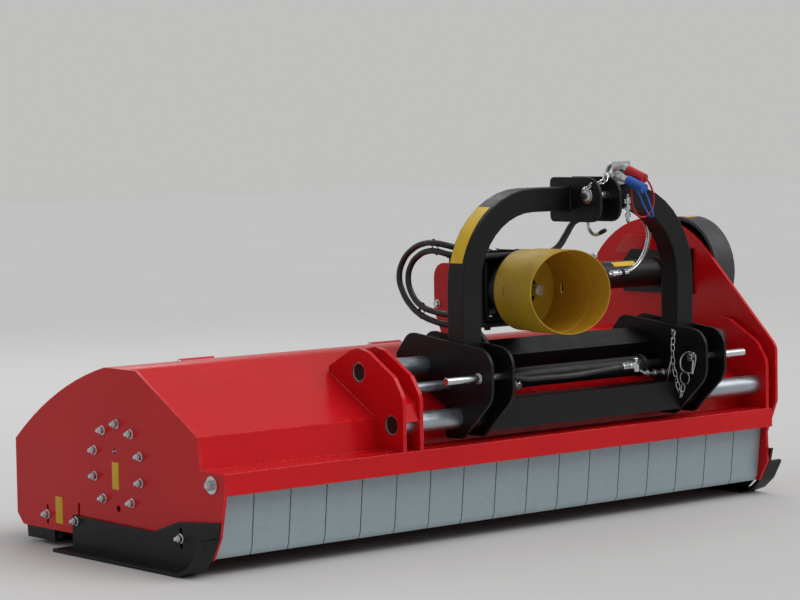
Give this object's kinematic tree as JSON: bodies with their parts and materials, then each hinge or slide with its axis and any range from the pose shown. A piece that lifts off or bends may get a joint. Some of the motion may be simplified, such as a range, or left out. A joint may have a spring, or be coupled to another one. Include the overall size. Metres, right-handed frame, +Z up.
{
  "type": "flail mower",
  "caption": "Tractor-mounted flail mower: red folded deck with hinged rear hood, front flap curtain, skids and roller, and a black arched headstock that slides sideways on guide bars.",
  "frame": {"origin": "on the ground under the middle of the machine's footprint", "axes": "+X along the rotor towards the belt drive, +Y from the tractor towards the rear hood, +Z up"},
  "size_m": [2.295, 1.157, 1.075],
  "materials": {
    "red_paint": "gloss red paint",
    "black_paint": "satin black paint",
    "bright_steel": "bright zinc plating",
    "galvanised": "galvanised sheet",
    "grey_paint": "dark grey paint",
    "cast_iron": "bare casting",
    "yellow_plastic": "moulded yellow plastic",
    "black_rubber": "matt rubber",
    "blue_plastic": "moulded blue plastic",
    "red_plastic": "moulded red plastic"
  },
  "bodies": {
    "deck": {"deck_shell": "red_paint", "left_end_plate": "red_paint", "right_end_plate": "red_paint", "front_beam": "red_paint", "hood_hinge_pins": "bright_steel", "slide_brackets": "red_paint", "guide_bars": "bright_steel", "left_skid": "black_paint", "right_skid": "black_paint", "deck_bolts": "bright_steel", "flap_rod": "bright_steel", "rotor_bearings": "black_paint", "drive_belts": "black_rubber", "belt_guard": "grey_paint", "gearbox_housing": "black_paint", "gearbox_stand": "red_paint", "drive_tube": "black_paint", "pto_shield_base": "yellow_plastic", "pto_shield_sleeve": "yellow_plastic", "roller_brackets": "black_paint", "cylinder_rod": "bright_steel"},
    "headstock": {"clevis_plates": "black_paint", "slide_sleeves": "black_paint", "headstock_arch": "black_paint", "toplink_plates": "black_paint", "toplink_pin": "bright_steel", "hitch_pins": "bright_steel", "shaft_hook": "bright_steel", "coupler_holder": "bright_steel", "blue_cap": "blue_plastic", "red_cap": "red_plastic", "hydraulic_hoses": "black_rubber", "cylinder_barrel": "black_paint"},
    "rotor_assembly": {"rotor": "black_paint", "rotor_pulley": "cast_iron"},
    "hammers_1": {"hammer_row_1": "cast_iron"},
    "hammers_2": {"hammer_row_2": "cast_iron"},
    "hammers_3": {"hammer_row_3": "cast_iron"},
    "cross_drive": {"cross_shaft": "bright_steel", "drive_pulley": "cast_iron"},
    "pto_drive": {"pto_shaft": "bright_steel"},
    "roller": {"rear_roller": "black_paint"},
    "hood": {"rear_hood": "red_paint"},
    "flap_body_01": {"flap_01": "galvanised"},
    "flap_body_02": {"flap_02": "galvanised"},
    "flap_body_03": {"flap_03": "galvanised"},
    "flap_body_04": {"flap_04": "galvanised"},
    "flap_body_05": {"flap_05": "galvanised"},
    "flap_body_06": {"flap_06": "galvanised"},
    "flap_body_07": {"flap_07": "galvanised"},
    "flap_body_08": {"flap_08": "galvanised"},
    "flap_body_09": {"flap_09": "galvanised"},
    "flap_body_10": {"flap_10": "galvanised"},
    "flap_body_11": {"flap_11": "galvanised"},
    "flap_body_12": {"flap_12": "galvanised"},
    "flap_body_13": {"flap_13": "galvanised"},
    "flap_body_14": {"flap_14": "galvanised"},
    "flap_body_15": {"flap_15": "galvanised"},
    "flap_body_16": {"flap_16": "galvanised"},
    "flap_body_17": {"flap_17": "galvanised"}
  },
  "joints": [
    {"name": "headstock_slide", "type": "slide", "parent": "deck", "child": "headstock", "axis": [1, 0, 0], "range_m": [-0.14, 0.11]},
    {"name": "rotor_spin", "type": "hinge", "parent": "deck", "child": "rotor_assembly", "pos_m": [-0.015, 0.0455, 0.262], "axis": [1, 0, 0], "continuous": true},
    {"name": "cross_spin", "type": "hinge", "parent": "deck", "child": "cross_drive", "pos_m": [0.6205, -0.0385, 0.705], "axis": [1, 0, 0], "continuous": true},
    {"name": "pto_spin", "type": "hinge", "parent": "deck", "child": "pto_drive", "pos_m": [0.1025, -0.3585, 0.705], "axis": [0, 1, 0], "continuous": true},
    {"name": "roller_spin", "type": "hinge", "parent": "deck", "child": "roller", "pos_m": [-0.015, 0.4715, 0.084], "axis": [1, 0, 0], "continuous": true},
    {"name": "hood_hinge", "type": "hinge", "parent": "deck", "child": "hood", "pos_m": [-0.015, 0.1665, 0.52604], "axis": [1, 0, 0], "range_deg": [0, 75]},
    {"name": "hammer_swing_1", "type": "hinge", "parent": "rotor_assembly", "child": "hammers_1", "pos_m": [-0.015, 0.0455, 0.133], "axis": [1, 0, 0], "range_deg": [-126, 126]},
    {"name": "hammer_swing_2", "type": "hinge", "parent": "rotor_assembly", "child": "hammers_2", "pos_m": [-0.015, 0.15722, 0.3265], "axis": [1, 0, 0], "range_deg": [-6, 246]},
    {"name": "hammer_swing_3", "type": "hinge", "parent": "rotor_assembly", "child": "hammers_3", "pos_m": [-0.015, -0.06622, 0.3265], "axis": [1, 0, 0], "range_deg": [-246, 6]},
    {"name": "flap_hinge_01", "type": "hinge", "parent": "deck", "child": "flap_body_01", "pos_m": [-1.01688, -0.4015, 0.251], "axis": [1, 0, 0], "range_deg": [-12, 70]},
    {"name": "flap_hinge_02", "type": "hinge", "parent": "deck", "child": "flap_body_02", "pos_m": [-0.89165, -0.4015, 0.251], "axis": [1, 0, 0], "range_deg": [-12, 70]},
    {"name": "flap_hinge_03", "type": "hinge", "parent": "deck", "child": "flap_body_03", "pos_m": [-0.76641, -0.4015, 0.251], "axis": [1, 0, 0], "range_deg": [-12, 70]},
    {"name": "flap_hinge_04", "type": "hinge", "parent": "deck", "child": "flap_body_04", "pos_m": [-0.64118, -0.4015, 0.251], "axis": [1, 0, 0], "range_deg": [-12, 70]},
    {"name": "flap_hinge_05", "type": "hinge", "parent": "deck", "child": "flap_body_05", "pos_m": [-0.51594, -0.4015, 0.251], "axis": [1, 0, 0], "range_deg": [-12, 70]},
    {"name": "flap_hinge_06", "type": "hinge", "parent": "deck", "child": "flap_body_06", "pos_m": [-0.39071, -0.4015, 0.251], "axis": [1, 0, 0], "range_deg": [-12, 70]},
    {"name": "flap_hinge_07", "type": "hinge", "parent": "deck", "child": "flap_body_07", "pos_m": [-0.26547, -0.4015, 0.251], "axis": [1, 0, 0], "range_deg": [-12, 70]},
    {"name": "flap_hinge_08", "type": "hinge", "parent": "deck", "child": "flap_body_08", "pos_m": [-0.14024, -0.4015, 0.251], "axis": [1, 0, 0], "range_deg": [-12, 70]},
    {"name": "flap_hinge_09", "type": "hinge", "parent": "deck", "child": "flap_body_09", "pos_m": [-0.015, -0.4015, 0.251], "axis": [1, 0, 0], "range_deg": [-12, 70]},
    {"name": "flap_hinge_10", "type": "hinge", "parent": "deck", "child": "flap_body_10", "pos_m": [0.11024, -0.4015, 0.251], "axis": [1, 0, 0], "range_deg": [-12, 70]},
    {"name": "flap_hinge_11", "type": "hinge", "parent": "deck", "child": "flap_body_11", "pos_m": [0.23547, -0.4015, 0.251], "axis": [1, 0, 0], "range_deg": [-12, 70]},
    {"name": "flap_hinge_12", "type": "hinge", "parent": "deck", "child": "flap_body_12", "pos_m": [0.36071, -0.4015, 0.251], "axis": [1, 0, 0], "range_deg": [-12, 70]},
    {"name": "flap_hinge_13", "type": "hinge", "parent": "deck", "child": "flap_body_13", "pos_m": [0.48594, -0.4015, 0.251], "axis": [1, 0, 0], "range_deg": [-12, 70]},
    {"name": "flap_hinge_14", "type": "hinge", "parent": "deck", "child": "flap_body_14", "pos_m": [0.61118, -0.4015, 0.251], "axis": [1, 0, 0], "range_deg": [-12, 70]},
    {"name": "flap_hinge_15", "type": "hinge", "parent": "deck", "child": "flap_body_15", "pos_m": [0.73641, -0.4015, 0.251], "axis": [1, 0, 0], "range_deg": [-12, 70]},
    {"name": "flap_hinge_16", "type": "hinge", "parent": "deck", "child": "flap_body_16", "pos_m": [0.86165, -0.4015, 0.251], "axis": [1, 0, 0], "range_deg": [-12, 70]},
    {"name": "flap_hinge_17", "type": "hinge", "parent": "deck", "child": "flap_body_17", "pos_m": [0.98688, -0.4015, 0.251], "axis": [1, 0, 0], "range_deg": [-12, 70]}
  ],
  "couplings": [
    {"joint": "cross_spin", "follows": "rotor_spin", "ratio": 0.80769},
    {"joint": "pto_spin", "follows": "rotor_spin", "ratio": 0.26923}
  ]
}
